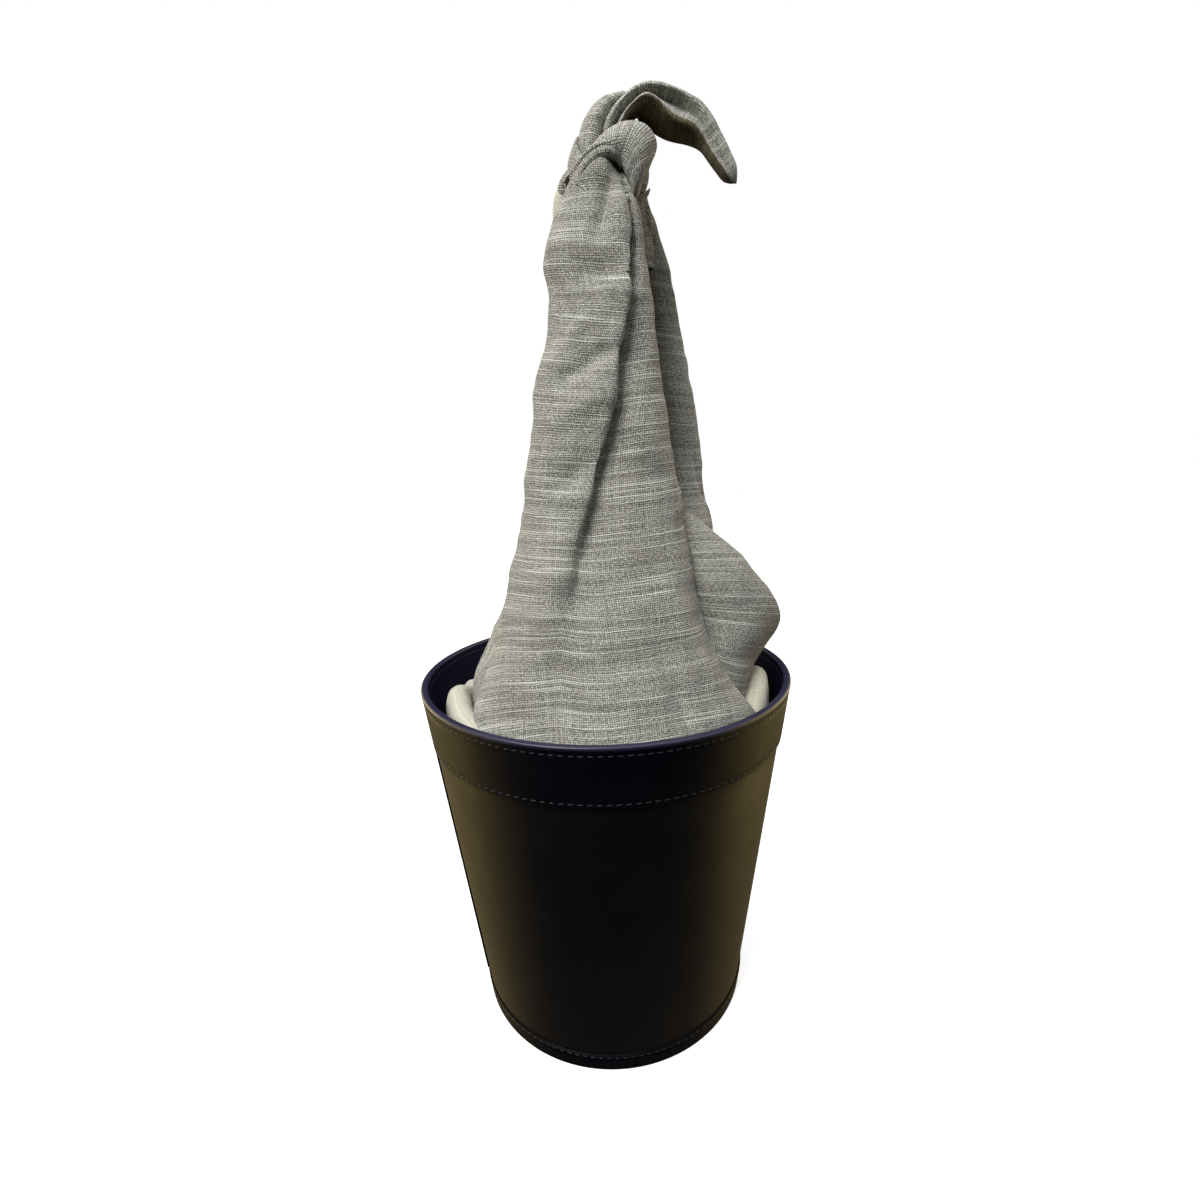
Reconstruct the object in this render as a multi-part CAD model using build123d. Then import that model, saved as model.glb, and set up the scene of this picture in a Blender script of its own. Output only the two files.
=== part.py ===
"""Leather bin with a lift-out linen pouch, whose two long ears are tied in a knot as a handle.

Millimetres. The origin is the centre of the bin's underside, +Z is up, and -Y is the front.
Each separate piece is one node, written to parts/NODE.step.
"""

from build123d import *
import math
import os

# Bin: driving dimensions.
BIN_HEIGHT = 190.0
WALL_RADIUS_AT_BASE = 75.2      # outside of the outer leather, at z = 0
TAPER = 0.12                    # radius gained per millimetre of height
OUTER_LEATHER = 1.1
STIFFENER = 0.7
LINING = 0.7
BAND_LEATHER = 1.1
BAND_HEIGHT = 30.0
BASE_BAND_HEIGHT = 10.0
EDGE_COAT = 1.0                 # height of the painted, crowned edge on top of the layers
BASE_LEATHER = 1.2
BASE_BOARD = 2.0
BASE_LINING = 0.7
GAP = 0.15                      # between pieces that are glued face to face

# Stitching: one continuous thread stands for each row.
THREAD_RADIUS = 0.35
RIM_STITCH_DROP = 4.4           # below the top of the bin
BAND_STITCH_RISE = 2.0          # above the lower edge of the band
BASE_STITCH_DROP = 1.8          # below the upper edge of the base band

# Side seam: the outer leather's overlap, at the left, and the lining's, at the right.
SEAM_START, SEAM_END = 187.0, 198.0             # degrees from +X
SEAM_LEATHER = 1.0
LINING_SEAM_START, LINING_SEAM_END = -1.5, 5.5  # degrees from +X
LINING_SEAM_LEATHER = 0.6

# Pouch: driving dimensions.
CLOTH = 1.4                     # cloth, its lining and the air between them
COTTON_FLOOR = BASE_LEATHER + BASE_BOARD + BASE_LINING + 0.7
COTTON_FLOOR_RADIUS = 67.0
WAIST, WAIST_RADIUS = 170.0, 76.5       # where the cotton is sewn to the linen, inside its shoulder
SKIRT_TOP = 250.0
HINGE_HEIGHT = 280.0            # where the ears part, and fold over
EAR_FOOT = HINGE_HEIGHT + 3.0
EAR_THICKNESS = 4.0
KNOT_CENTRE = (17.0, -12.0, 428.0)
KNOT_RADII = (14.5, 15.0, 17.0)
CLEAR = 0.4                     # air between soft pieces that lie close together
FRONT_END_PIVOT = (13.0, 452.0)     # x, z
REAR_END_PIVOT = (8.0, 437.0)       # y, z


def wall_radius(z):
    """Outside radius of the outer leather at height z."""
    return WALL_RADIUS_AT_BASE + TAPER * z


def turned(outline):
    """Solid of revolution about Z from a closed outline of (radius, z) points."""
    return revolve(make_face(Polyline(*[(r, 0, z) for r, z in outline], close=True)), Axis.Z)


def cone_layer(depth, thickness, low, high):
    """One layer of the wall: its outside lies depth inside the outer leather's outside."""
    outside = [(wall_radius(z) - depth, z) for z in (low, high)]
    inside = [(r - thickness, z) for r, z in reversed(outside)]
    return turned(outside + inside)


def cone_strip(depth, thickness, low, high, start, end):
    """A stretch of such a layer between two angles, in degrees from +X."""
    outline = [(wall_radius(low) - depth, 0, low), (wall_radius(high) - depth, 0, high)]
    outline += [(x - thickness, y, z) for x, y, z in reversed(outline)]
    strip = revolve(make_face(Polyline(*outline, close=True)), Axis.Z, revolution_arc=end - start)
    return Rot(0, 0, start) * strip


def disc(radius, low, thickness):
    return Pos(0, 0, low + thickness / 2) * Cylinder(radius, thickness)


def thread_ring(surface_radius, z, outside=True):
    """A thread that lies on a wall of that radius, on its outside or its inside."""
    slope = math.hypot(1, TAPER)
    reach = (THREAD_RADIUS + 0.03) * slope
    ring_radius = surface_radius + reach if outside else surface_radius - reach
    return Pos(0, 0, z) * Torus(ring_radius, THREAD_RADIUS)


def seam_thread(angle):
    """A thread up the front edge of the side seam."""
    low, high = BASE_BAND_HEIGHT + 1, BIN_HEIGHT - BAND_HEIGHT - 1
    proud = SEAM_LEATHER + THREAD_RADIUS + 0.05
    foot = Vector(wall_radius(low) + proud, 0, low)
    head = Vector(wall_radius(high) + proud, 0, high)
    run = Plane(origin=foot, z_dir=head - foot) * Circle(THREAD_RADIUS)
    return Rot(0, 0, angle) * extrude(run, (head - foot).length)


def bin_parts():
    rim = BIN_HEIGHT - EDGE_COAT
    band_foot = BIN_HEIGHT - BAND_HEIGHT
    lining_depth = OUTER_LEATHER + STIFFENER
    lining_foot = BASE_LEATHER + BASE_BOARD
    floor_radius = wall_radius(0) - OUTER_LEATHER - GAP
    board_radius = wall_radius(BASE_LEATHER) - lining_depth - GAP
    lining_radius = wall_radius(lining_foot) - lining_depth - LINING - GAP
    stiffener_top = BIN_HEIGHT - 6.0

    edge_outside = (wall_radius(rim) + BAND_LEATHER, 0, rim)
    edge_inside = (wall_radius(rim) - lining_depth - LINING, 0, rim)
    edge_crown = ((edge_outside[0] + edge_inside[0]) / 2, 0, BIN_HEIGHT)
    edge_outline = [Line(edge_inside, edge_outside), ThreePointArc(edge_outside, edge_crown, edge_inside)]

    rim_stitch = BIN_HEIGHT - RIM_STITCH_DROP
    band_stitch = band_foot + BAND_STITCH_RISE
    base_stitch = BASE_BAND_HEIGHT - BASE_STITCH_DROP
    rim_thread = [thread_ring(wall_radius(rim_stitch) + BAND_LEATHER, rim_stitch),
                  thread_ring(wall_radius(rim_stitch) - lining_depth - LINING, rim_stitch, False)]

    return {
        "wall_leather": cone_layer(0, OUTER_LEATHER, 0, rim),
        "wall_stiffener": cone_layer(OUTER_LEATHER, STIFFENER, BASE_LEATHER, stiffener_top),
        "wall_lining": cone_layer(lining_depth, LINING, lining_foot, rim),
        "lining_seam_strip": cone_strip(
            lining_depth + LINING, LINING_SEAM_LEATHER, lining_foot + BASE_LINING + 1, rim - 8,
            LINING_SEAM_START, LINING_SEAM_END),
        "side_seam_strip": cone_strip(
            -SEAM_LEATHER, SEAM_LEATHER, BASE_BAND_HEIGHT, band_foot, SEAM_START, SEAM_END),
        "rim_band": cone_layer(-BAND_LEATHER, BAND_LEATHER, band_foot, rim),
        "rim_edge_coat": revolve(make_face(Curve() + edge_outline), Axis.Z),
        "base_band": cone_layer(-BAND_LEATHER, BAND_LEATHER, 0, BASE_BAND_HEIGHT),
        "base_leather": disc(floor_radius, 0, BASE_LEATHER),
        "base_board": disc(board_radius, BASE_LEATHER, BASE_BOARD),
        "base_lining": disc(lining_radius, lining_foot, BASE_LINING),
        "rim_thread": Compound(children=rim_thread),
        "band_thread": thread_ring(wall_radius(band_stitch) + BAND_LEATHER, band_stitch),
        "base_thread": thread_ring(wall_radius(base_stitch) + BAND_LEATHER, base_stitch),
        "side_seam_thread": seam_thread(SEAM_END - 1.8),
    }


def skin(outside, thickness):
    """Closed outline of a thin wall, from the (radius, z) points of its outside."""
    inside = []
    for i, (r, z) in enumerate(outside):
        before = outside[max(i - 1, 0)]
        after = outside[min(i + 1, len(outside) - 1)]
        run, rise = after[0] - before[0], after[1] - before[1]
        length = math.hypot(run, rise)
        inside.append((max(r - thickness * rise / length, 0), z + thickness * run / length))
    return outside + inside[::-1]


def cotton_wall():
    """The pouch's round cotton side: a soft shoulder at the top turns in and down to the waist."""
    outside = [(COTTON_FLOOR_RADIUS + 1.6, COTTON_FLOOR + 0.4), (70, COTTON_FLOOR + 4), (80.5, 100),
               (85.5, 145), (89.3, 166), (89.3, 174), (86, 180), (82, 181.5), (78.5, 179.5),
               (WAIST_RADIUS + 0.6, 175), (WAIST_RADIUS + 0.5, WAIST)]
    return turned(skin(outside, CLOTH))


# Outline of the linen skirt: height, centre's x, half width, half depth.
SKIRT = [(WAIST, 0, WAIST_RADIUS, WAIST_RADIUS), (190, -2, 69, 66), (215, -3.5, 56, 50),
         (SKIRT_TOP, -1, 47.5, 33)]


def skirt_loft(grown):
    """The skirt's outer shape, larger all round by that amount."""
    rings = [Plane.XY.offset(z) * Pos(x, 0) * Ellipse(a + grown, b + grown) for z, x, a, b in SKIRT]
    return loft(rings)


def skirt_half(side):
    """The linen skirt in front of (side -1) or behind (side 1) the two side seams."""
    keep = Pos(0, side * (100 + GAP / 2), 200) * Box(220, 200, 120)
    return (skirt_loft(0) - skirt_loft(-CLOTH)) & keep


def side_fold():
    """The puff of linen that swells over the bin's right edge."""
    puff = Pos(70, -4, 222) * scale(Sphere(1), by=(22, 24, 27))
    return puff - skirt_loft(CLEAR)


def ear(sections):
    """A strap of cloth from its sections: height, left edge, right edge, y."""
    faces = [Plane.XY.offset(z) * Pos((left + right) / 2, y)
             * RectangleRounded(right - left, EAR_THICKNESS, EAR_THICKNESS * 0.4)
             for z, left, right, y in sections]
    return loft(faces) - knot(CLEAR)


def knot(grown=0.0):
    """The lump of the knot, larger all round by that amount."""
    return Pos(*KNOT_CENTRE) * scale(Sphere(1), by=tuple(radius + grown for radius in KNOT_RADII))


def upper_loop():
    """The ear's turn round the knot, seen at its upper left."""
    path = ThreePointArc((-5, -12, 425), (-3, -12, 443), (3, -12, 452.5))
    bend = sweep(Plane(origin=path @ 0, z_dir=path % 0) * Circle(6), path=path)
    return bend - knot(CLEAR)


def flap(outer, tip, inner, width):
    """A loose end: the area between two splines, in a plane, thickened across it."""
    edges = [Spline(*outer), Line(outer[-1], tip), Line(tip, inner[0]), Spline(*inner),
             Line(inner[-1], outer[0])]
    return extrude(make_face(Curve() + edges), width / 2, both=True)


def front_end():
    """The loose end that arches over to the right and hangs."""
    outer = [(11, 457.7), (24, 463), (38, 461.5), (50, 453), (59, 441), (66, 426)]
    inner = [(60, 422), (51, 436), (40, 445), (28, 449.5), (16, 447)]
    body = Plane.XZ.offset(12) * flap(outer, (66, 423), inner, 18)
    x, z = FRONT_END_PIVOT
    root = Pos(x, -12, z) * Rot(90, 0, 0) * Cylinder(5.8, 18)
    return body + root


def rear_end():
    """The loose end that hangs behind the rear ear."""
    outer = [(8, 441.5), (19, 436), (27, 420), (33, 400), (37, 384)]
    inner = [(32, 382), (28, 400), (21.5, 418), (15, 430), (8, 433.5)]
    y, z = REAR_END_PIVOT
    body = Plane.YZ.offset(17) * flap(outer, (36, 381), inner, 20)
    root = Pos(17, y, z) * Rot(0, 90, 0) * Cylinder(4.2, 20)
    return body + root


def pouch_parts():
    waist_thread = Pos(0, 0, WAIST - 2 * THREAD_RADIUS) * Torus(WAIST_RADIUS + 0.2, THREAD_RADIUS)
    front = ear([(EAR_FOOT, -37, 41, -27), (330, -29, 32, -29), (372, -22, 26, -27),
                 (405, -12, 23, -20), (424, 0, 22, -14)])
    rear = ear([(EAR_FOOT, -44, 56, 27), (330, -32, 50, 26), (372, -20, 40, 21),
                (400, -8, 34, 11), (420, 4, 28, -3)])
    return {
        "cotton_floor": disc(COTTON_FLOOR_RADIUS, COTTON_FLOOR, CLOTH),
        "cotton_wall": cotton_wall(),
        "waist_thread": waist_thread,
        "linen_front": skirt_half(-1),
        "linen_rear": skirt_half(1),
        "side_fold": side_fold(),
        "front_ear": front,
        "rear_ear": rear,
        "knot": knot(),
        "upper_loop": upper_loop(),
        "front_end": front_end(),
        "rear_end": rear_end(),
    }


os.makedirs("parts", exist_ok=True)
for name, shape in {**bin_parts(), **pouch_parts()}.items():
    export_step(shape, f"parts/{name}.step")
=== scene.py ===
import math
import random

import bpy
import numpy as np
from mathutils.bvhtree import BVHTree
from mathutils import Matrix, Vector, noise


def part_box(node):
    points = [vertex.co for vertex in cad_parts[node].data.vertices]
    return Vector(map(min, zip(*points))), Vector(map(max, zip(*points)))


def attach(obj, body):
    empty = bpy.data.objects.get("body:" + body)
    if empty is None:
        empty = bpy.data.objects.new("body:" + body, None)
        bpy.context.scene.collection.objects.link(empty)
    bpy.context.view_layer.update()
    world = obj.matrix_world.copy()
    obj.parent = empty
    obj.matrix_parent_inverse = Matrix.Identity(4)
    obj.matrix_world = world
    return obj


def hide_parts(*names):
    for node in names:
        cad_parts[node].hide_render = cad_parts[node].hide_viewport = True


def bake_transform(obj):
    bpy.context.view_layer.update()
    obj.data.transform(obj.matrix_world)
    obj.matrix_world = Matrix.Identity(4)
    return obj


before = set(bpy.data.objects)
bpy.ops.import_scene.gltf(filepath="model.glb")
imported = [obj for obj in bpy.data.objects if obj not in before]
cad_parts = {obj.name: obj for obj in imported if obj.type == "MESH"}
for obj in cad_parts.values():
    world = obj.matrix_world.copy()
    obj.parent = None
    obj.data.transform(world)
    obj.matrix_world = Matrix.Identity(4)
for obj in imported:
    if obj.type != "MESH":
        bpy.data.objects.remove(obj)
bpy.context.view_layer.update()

MM = 0.001
random.seed(5)

# ---------------------------------------------------------------- sizes, read from the frame


def ring_radius(node, top, inner=False):
    """Radius of a CAD node's outside, or inside, at its top or its foot."""
    points = np.array([v.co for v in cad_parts[node].data.vertices])
    level = points[:, 2].max() if top else points[:, 2].min()
    radii = np.hypot(*points[np.abs(points[:, 2] - level) < 1e-5][:, :2].T)
    return float(radii.min() if inner else radii.max())


WALL_LOW, WALL_TOP = ring_radius("wall_leather", False), ring_radius("wall_leather", True)
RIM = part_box("wall_leather")[1].z
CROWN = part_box("rim_edge_coat")[1].z
BAND_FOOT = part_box("rim_band")[0].z
BASE_BAND_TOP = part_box("base_band")[1].z
SLOPE = (WALL_TOP - WALL_LOW) / RIM
BAND = ring_radius("rim_band", True) - WALL_TOP
LINING_INSIDE = WALL_TOP - ring_radius("wall_lining", True, inner=True)
STITCH_PITCH = 4.1 * MM


def wall(z):
    """Outside radius of the wall leather at height z."""
    return WALL_LOW + SLOPE * z


# ---------------------------------------------------------------- materials


def nodes_of(name):
    """A new material, its node tree and its Principled shader."""
    material = bpy.data.materials.new(name)
    material.use_nodes = True
    tree = material.node_tree
    return material, tree, tree.nodes["Principled BSDF"]


class Graph:
    """Short ways to add nodes to one material."""

    def __init__(self, tree):
        self.tree = tree

    def node(self, kind, **settings):
        made = self.tree.nodes.new(kind)
        for key, value in settings.items():
            setattr(made, key, value)
        return made

    def feed(self, socket, value):
        if isinstance(value, bpy.types.NodeSocket):
            self.tree.links.new(value, socket)
        else:
            socket.default_value = value

    def math(self, operation, *values, clamp=False):
        made = self.node("ShaderNodeMath", operation=operation, use_clamp=clamp)
        for socket, value in zip(made.inputs, values):
            self.feed(socket, value)
        return made.outputs[0]

    def scaled(self, vector, x, y):
        made = self.node("ShaderNodeVectorMath", operation="MULTIPLY")
        self.feed(made.inputs[0], vector)
        made.inputs[1].default_value = (x, y, 1)
        return made.outputs[0]

    def noise(self, vector, scale=1.0, detail=2.0, roughness=0.5, distortion=0.0):
        made = self.node("ShaderNodeTexNoise")
        self.feed(made.inputs["Vector"], vector)
        made.inputs["Scale"].default_value = scale
        made.inputs["Detail"].default_value = detail
        made.inputs["Roughness"].default_value = roughness
        made.inputs["Distortion"].default_value = distortion
        return made.outputs["Fac"]

    def remap(self, value, low, high, to_low=0.0, to_high=1.0):
        made = self.node("ShaderNodeMapRange", interpolation_type="SMOOTHSTEP")
        for socket, number in zip(made.inputs, (value, low, high, to_low, to_high)):
            self.feed(socket, number)
        return made.outputs[0]

    def mix(self, factor, a, b):
        made = self.node("ShaderNodeMix", data_type="RGBA")
        self.feed(made.inputs["Factor"], factor)
        self.feed(made.inputs["A"], a)
        self.feed(made.inputs["B"], b)
        return made.outputs["Result"]

    def bump(self, height, strength, distance):
        made = self.node("ShaderNodeBump")
        made.inputs["Strength"].default_value = strength
        made.inputs["Distance"].default_value = distance
        self.feed(made.inputs["Height"], height)
        return made.outputs["Normal"]

    def object_place(self):
        return self.node("ShaderNodeTexCoord").outputs["Object"]


def leather(name, colour, worn, rough=0.45, grain=1.0, specular=0.35, painted_warm_sheen=0.0):
    """Smooth calf leather: fine pebble grain, a cloudy polish, and a sheen lit by the lamps but tinted warm
    olive, a painted reflection of warm surroundings.
    """
    material, tree, shader = nodes_of(name)
    g = Graph(tree)
    place = g.object_place()
    pebble = g.node("ShaderNodeTexVoronoi", feature="SMOOTH_F1")
    g.feed(pebble.inputs["Vector"], place)
    pebble.inputs["Scale"].default_value = 1350
    fine = g.noise(place, 2600, 2)
    cloudy = g.noise(place, 26, 4, 0.6)
    height = g.math("ADD", pebble.outputs["Distance"], g.math("MULTIPLY", fine, 0.6))
    g.feed(shader.inputs["Base Color"], g.mix(g.remap(cloudy, 0.42, 0.72, 0, 0.6), colour, worn))
    g.feed(shader.inputs["Roughness"], g.remap(cloudy, 0.3, 0.7, rough - 0.05, rough + 0.07))
    g.feed(shader.inputs["Normal"], g.bump(height, 0.22 * grain, 0.00012))
    shader.inputs["Specular IOR Level"].default_value = specular
    # Painted reflection: the sheen's warm olive tint stands in for warm surroundings reflected at grazing
    # angles.
    shader.inputs["Sheen Weight"].default_value = painted_warm_sheen
    shader.inputs["Sheen Roughness"].default_value = 0.32
    shader.inputs["Sheen Tint"].default_value = (1.0, 0.78, 0.36, 1)
    return material


def woven(name, light, dark, shade, pitch, slubs, hole_shade, dip_shade, bump, sheen=0.12):
    """Plain-weave cloth on the UV map Cloth, which is in metres: U along the weft, V along the warp.

    The thread pitch is in metres. The other numbers are how strong the bright slubs, the painted shade in
    the gaps between threads, the painted shade where a thread dips under, and the relief are."""
    material, tree, shader = nodes_of(name)
    g = Graph(tree)
    place = g.node("ShaderNodeUVMap", uv_map="Cloth").outputs["UV"]
    sway = g.noise(g.scaled(place, 90, 90), 1, 2)
    swayed = g.node("ShaderNodeVectorMath", operation="ADD")
    g.feed(swayed.inputs[0], g.scaled(place, 1 / pitch, 1 / pitch))
    shift = g.node("ShaderNodeCombineXYZ")
    g.feed(shift.inputs["X"], g.math("MULTIPLY", sway, 2.2))
    g.feed(shift.inputs["Y"], g.math("MULTIPLY", sway, 1.6))
    g.feed(swayed.inputs[1], shift.outputs[0])
    across = g.node("ShaderNodeSeparateXYZ")
    g.feed(across.inputs[0], swayed.outputs[0])
    warp = g.math("SINE", g.math("MULTIPLY", across.outputs["X"], math.pi))
    weft = g.math("SINE", g.math("MULTIPLY", across.outputs["Y"], math.pi))
    over = g.remap(g.math("MULTIPLY", warp, weft), -0.4, 0.4)
    warp_round, weft_round = g.math("ABSOLUTE", warp), g.math("ABSOLUTE", weft)
    crossing = g.math("ADD", g.math("MULTIPLY", over, warp_round),
                      g.math("MULTIPLY", g.math("SUBTRACT", 1.0, over), weft_round))
    closed = g.remap(g.math("ADD", warp_round, weft_round), 0.15, 0.95)
    slub = g.remap(g.noise(g.scaled(place, 16, 0.8 / pitch), 1, 1.5), 0.55, 0.68)
    end_slub = g.remap(g.noise(g.scaled(place, 0.7 / pitch, 20), 1, 1.5), 0.62, 0.78)
    weft_tone = g.noise(g.scaled(place, 9, 0.30 / pitch), 1, 3)
    warp_tone = g.noise(g.scaled(place, 0.45 / pitch, 12), 1, 3)
    blotch = g.noise(g.scaled(place, 45, 60), 1, 4)
    tone = g.math("ADD", g.math("MULTIPLY", weft_tone, 0.65), g.math("MULTIPLY", warp_tone, 0.35))
    speck = g.noise(g.scaled(place, 0.9 / pitch, 0.9 / pitch), 1, 2)
    tone = g.math("ADD", g.math("MULTIPLY", tone, 0.45), g.math("MULTIPLY", speck, 0.55))
    colour = g.mix(g.remap(tone, 0.36, 0.64), dark, light)
    colour = g.mix(g.remap(blotch, 0.35, 0.7, 0, 0.22), colour, shade)
    bright = g.math("ADD", g.math("MULTIPLY", slub, slubs),
                    g.math("MULTIPLY", end_slub, slubs * 0.35), clamp=True)
    paler = tuple(min(0.95, c * 1.45) for c in light[:3]) + (1,)
    colour = g.mix(bright, colour, paler)
    # Painted shade: the gaps between threads are darkened in colour, less so on slubs.
    dim = g.math("MULTIPLY", g.math("SUBTRACT", 1.0, closed), hole_shade)
    dim = g.math("MULTIPLY", dim, g.math("SUBTRACT", 1.0, g.math("MULTIPLY", bright, 0.6)))
    colour = g.mix(dim, colour, tuple(c * 0.18 for c in dark[:3]) + (1,))
    # Painted shade: colour darkens where a thread dips under its crossing thread.
    colour = g.mix(g.math("MULTIPLY", g.math("SUBTRACT", 1.0, crossing), dip_shade), colour,
                   tuple(c * 0.45 for c in dark[:3]) + (1,))
    g.feed(shader.inputs["Base Color"], colour)
    height = g.math("ADD", crossing, g.math("MULTIPLY", bright, 0.9))
    height = g.math("ADD", height, g.math("MULTIPLY", tone, 0.8))
    g.feed(shader.inputs["Normal"], g.bump(height, bump, pitch * 0.28))
    shader.inputs["Roughness"].default_value = 0.92
    shader.inputs["Specular IOR Level"].default_value = 0.2
    shader.inputs["Sheen Weight"].default_value = sheen
    shader.inputs["Sheen Roughness"].default_value = 0.5
    return material


def thread_look(name, colour, light):
    """Waxed thread with a twist."""
    material, tree, shader = nodes_of(name)
    g = Graph(tree)
    place = g.object_place()
    twist = g.noise(place, 2400, 2, 0.6, 0.8)
    g.feed(shader.inputs["Base Color"], g.mix(g.remap(twist, 0.35, 0.7), colour, light))
    g.feed(shader.inputs["Normal"], g.bump(twist, 0.5, 0.0001))
    shader.inputs["Roughness"].default_value = 0.55
    return material


NAVY = leather("navy_leather", (0.0012, 0.0012, 0.0026, 1), (0.0026, 0.0024, 0.0040, 1),
               rough=0.42, specular=0.22, painted_warm_sheen=0.13)
BAND_NAVY = leather("band_leather", (0.0010, 0.0011, 0.0036, 1), (0.0022, 0.0021, 0.0048, 1),
                    rough=0.43, specular=0.11, painted_warm_sheen=0.06)
LINING_NAVY = leather("lining_leather", (0.0014, 0.0016, 0.0075, 1), (0.003, 0.003, 0.012, 1),
                      rough=0.6, specular=0.05)
EDGE_NAVY = leather("painted_edge", (0.016, 0.015, 0.040, 1), (0.030, 0.028, 0.065, 1),
                    rough=0.38, grain=0.5, specular=0.5)
UNDERSIDE = leather("base_leather", (0.008, 0.008, 0.012, 1), (0.02, 0.018, 0.02, 1), rough=0.6, grain=1.5)
THREAD = thread_look("navy_thread", (0.003, 0.0026, 0.008, 1), (0.009, 0.008, 0.024, 1))
LINEN = woven("slub_linen", (0.66, 0.65, 0.585, 1), (0.19, 0.187, 0.155, 1), (0.34, 0.315, 0.24, 1),
              pitch=1.0 * MM, slubs=0.62, hole_shade=1.0, dip_shade=0.9, bump=1.0)
# Painted shade: a darker, olive linen standing in for the shade on the underside of the front loose end.
LINEN_PAINTED_SHADE = woven("linen_painted_shade", (0.28, 0.245, 0.14, 1), (0.08, 0.068, 0.032, 1),
                      (0.16, 0.135, 0.065, 1), pitch=1.0 * MM, slubs=0.4, hole_shade=1.0, dip_shade=0.8, bump=1.0)
COTTON = woven("cream_cotton", (0.66, 0.645, 0.53, 1), (0.46, 0.445, 0.35, 1), (0.56, 0.53, 0.40, 1),
               pitch=0.6 * MM, slubs=0.2, hole_shade=0.5, dip_shade=0.35, bump=0.4, sheen=0.2)


def wears(piece, material):
    piece.data.materials.clear()
    piece.data.materials.append(material)


# ---------------------------------------------------------------- mesh tools


def mesh_piece(name, points, faces, uvs=None):
    """A mesh object from points and faces; uvs gives each point's place on the cloth, in metres."""
    data = bpy.data.meshes.new(name)
    data.from_pydata([tuple(p) for p in points], [], faces)
    data.validate()
    if uvs is not None:
        layer = data.uv_layers.new(name="Cloth")
        corner = np.zeros(len(data.loops), np.int32)
        data.loops.foreach_get("vertex_index", corner)
        layer.data.foreach_set("uv", np.asarray(uvs, np.float32)[corner].ravel())
    data.polygons.foreach_set("use_smooth", [True] * len(data.polygons))
    data.update()
    made = bpy.data.objects.new(name, data)
    bpy.context.scene.collection.objects.link(made)
    return made


def grid_faces(rows, columns, closed=False):
    last = columns if closed else columns - 1
    return [(r * columns + c, r * columns + (c + 1) % columns,
             (r + 1) * columns + (c + 1) % columns, (r + 1) * columns + c)
            for r in range(rows - 1) for c in range(last)]


def basis(controls, count):
    """Weights of a clamped uniform cubic B-spline's control points at count places along it."""
    degree = min(3, controls - 1)
    inner = np.linspace(0, 1, controls - degree + 1)
    knots = np.concatenate([np.zeros(degree), inner, np.ones(degree)])
    t = np.clip(np.linspace(0, 1, count), 0, 1 - 1e-9)
    weights = [((knots[i] <= t) & (t < knots[i + 1])).astype(float) for i in range(len(knots) - 1)]
    for d in range(1, degree + 1):
        raised = []
        for i in range(len(weights) - 1):
            total = np.zeros(count)
            if knots[i + d] > knots[i]:
                total += (t - knots[i]) / (knots[i + d] - knots[i]) * weights[i]
            if knots[i + d + 1] > knots[i + 1]:
                total += (knots[i + d + 1] - t) / (knots[i + d + 1] - knots[i + 1]) * weights[i + 1]
            raised.append(total)
        weights = raised
    return np.array(weights).T


def surface(net, across, along):
    """Points of the B-spline surface over a net of control points: along rows, across columns."""
    net = np.asarray(net, float)
    return np.einsum("vi,uj,ijk->vuk", basis(net.shape[0], along), basis(net.shape[1], across), net)


def normals_of(points):
    down, over = np.gradient(points, axis=0), np.gradient(points, axis=1)
    normal = np.cross(over, down)
    return normal / np.maximum(np.linalg.norm(normal, axis=2, keepdims=True), 1e-12)


FLARE_TOP, FLARE_DEPTH = 0.30, 0.1
ARCH = 2.4


def cloth_places(points, centre, tilt=None):
    """Each point's place on the flat cloth: U measured along its row from the column centre, V up.

    The weft hangs in arches low down, where the cloth flares, and bows a little the other way higher up."""
    over = np.linalg.norm(np.diff(points, axis=1), axis=2)
    u = np.concatenate([np.zeros((len(points), 1)), np.cumsum(over, axis=1)], axis=1)
    u -= u[:, centre:centre + 1]
    up = np.linalg.norm(np.diff(points, axis=0), axis=2).mean(axis=1)
    v = np.repeat(np.concatenate([[0], np.cumsum(up)])[:, None], points.shape[1], axis=1)
    if tilt is not None:
        flare = np.clip((FLARE_TOP - points[..., 2].mean(axis=1)) / FLARE_DEPTH, -0.6, 1.3)[:, None]
        v = v + tilt * u + ARCH * flare * u * u
    return np.stack([u, v], axis=2).reshape(-1, 2)


def ruffle(points, amplitude, size, seed, stretch=(1, 1, 1)):
    """Moves a grid of points along its normals by smooth noise of that size."""
    normal = normals_of(points)
    offset = Vector((seed * 7.13, seed * 3.71, seed * 1.37))
    flat = points.reshape(-1, 3) * np.array(stretch) / size
    rise = np.array([noise.noise(Vector(p) + offset) for p in flat]).reshape(points.shape[:2] + (1,))
    return points + normal * rise * amplitude


def crease(points, start, end, width, rise):
    """Raises, or sinks, a fold along a line between two (column share, row share) places."""
    rows, columns = points.shape[:2]
    a, b = (points[round(t * (rows - 1)), round(s * (columns - 1))] for s, t in (start, end))
    along = np.clip(((points - a) @ (b - a)) / np.dot(b - a, b - a), 0, 1)
    away = np.linalg.norm(points - (a + along[..., None] * (b - a)), axis=2)
    fade = np.sin(math.pi * np.clip(along, 0.04, 0.96)) ** 0.5
    return points + normals_of(points) * (rise * np.exp(-(away / width) ** 2) * fade)[..., None]


def cloth_piece(name, points, material, thickness, centre=None, tilt=None):
    """A sheet of cloth over a grid of points, made solid with a back face and a rim round its edge."""
    rows, columns = points.shape[:2]
    places = cloth_places(points, columns // 2 if centre is None else centre, tilt)
    made = mesh_piece(name, points.reshape(-1, 3), grid_faces(rows, columns), places)
    solid = made.modifiers.new("thickness", "SOLIDIFY")
    solid.thickness = thickness
    solid.offset = -1
    wears(made, material)
    return made


# ---------------------------------------------------------------- the bin


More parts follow.
